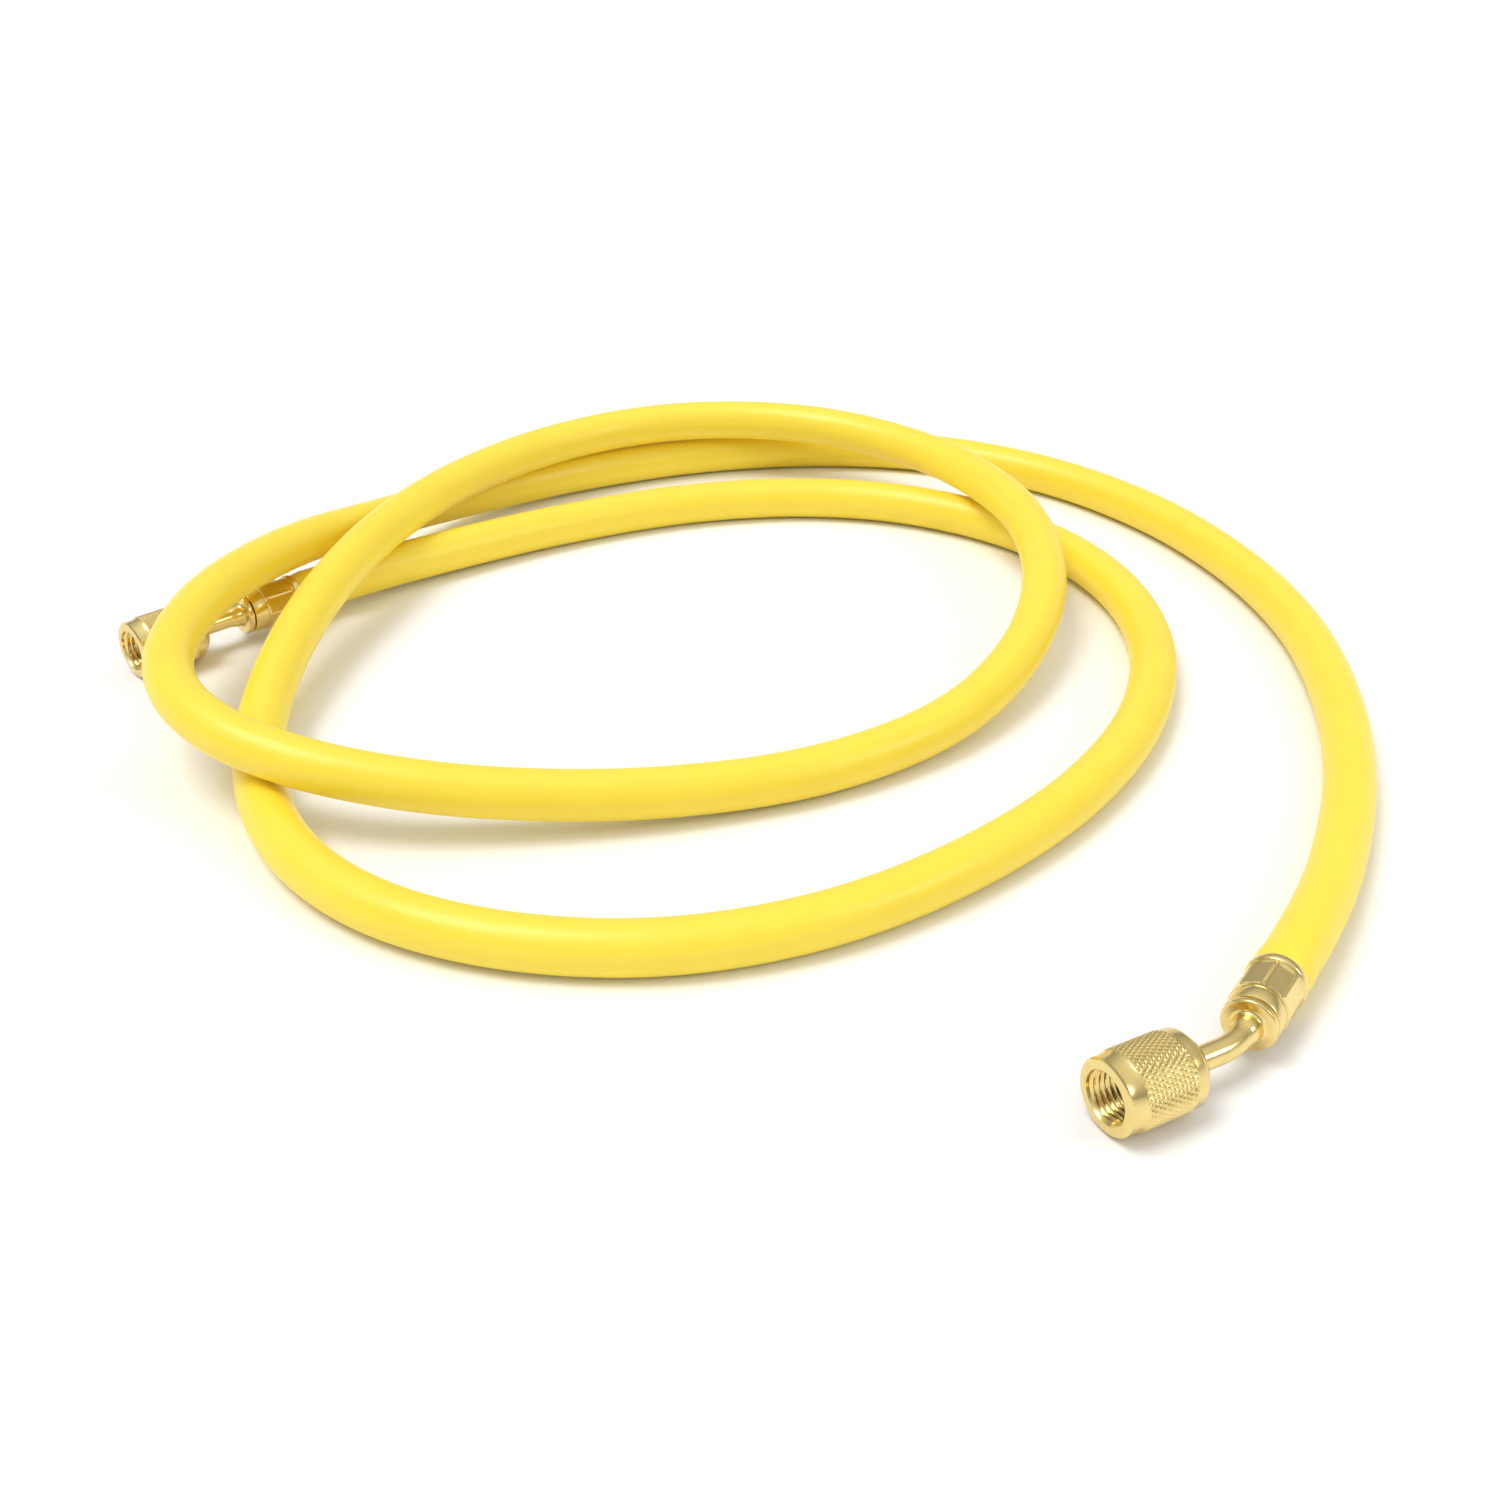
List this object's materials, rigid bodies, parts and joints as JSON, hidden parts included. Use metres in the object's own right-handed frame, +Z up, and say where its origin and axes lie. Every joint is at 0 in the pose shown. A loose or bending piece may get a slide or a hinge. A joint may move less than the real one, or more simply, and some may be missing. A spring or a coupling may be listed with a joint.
{
  "type": "refrigerant charging hose",
  "caption": "Coiled rubber refrigerant charging hose with crimped brass ferrules and knurled swivel flare nuts, one end straight and one end bent.",
  "frame": {"origin": "centre of the coil's footprint on the surface that it lies on", "axes": "+Z up from the surface, +Y along the coil's longest side, away from the bent end; the bent end's nut mouth faces about -X"},
  "size_m": [0.323, 0.3573, 0.0308],
  "materials": {
    "hose_rubber": "satin",
    "brass": "bright machined",
    "seal_rubber": "matte"
  },
  "bodies": {
    "hose": {"hose": "hose_rubber", "ferrule_a": "brass", "stem_a": "brass", "gasket_a": "seal_rubber", "depressor_a": "brass", "ferrule_b": "brass", "stem_b": "brass", "gasket_b": "seal_rubber"},
    "nut_a": {"nut_a": "brass"},
    "nut_b": {"nut_b": "brass"}
  },
  "joints": [
    {"name": "nut_a_spin", "type": "hinge", "parent": "hose", "child": "nut_a", "pos_m": [-0.015, -0.1708, 0.0083], "axis": [-0.9942, -0.108, 0], "continuous": true},
    {"name": "nut_b_spin", "type": "hinge", "parent": "hose", "child": "nut_b", "pos_m": [-0.159, 0.0895, 0.0083], "axis": [-0.9367, -0.3502, 0], "continuous": true}
  ]
}
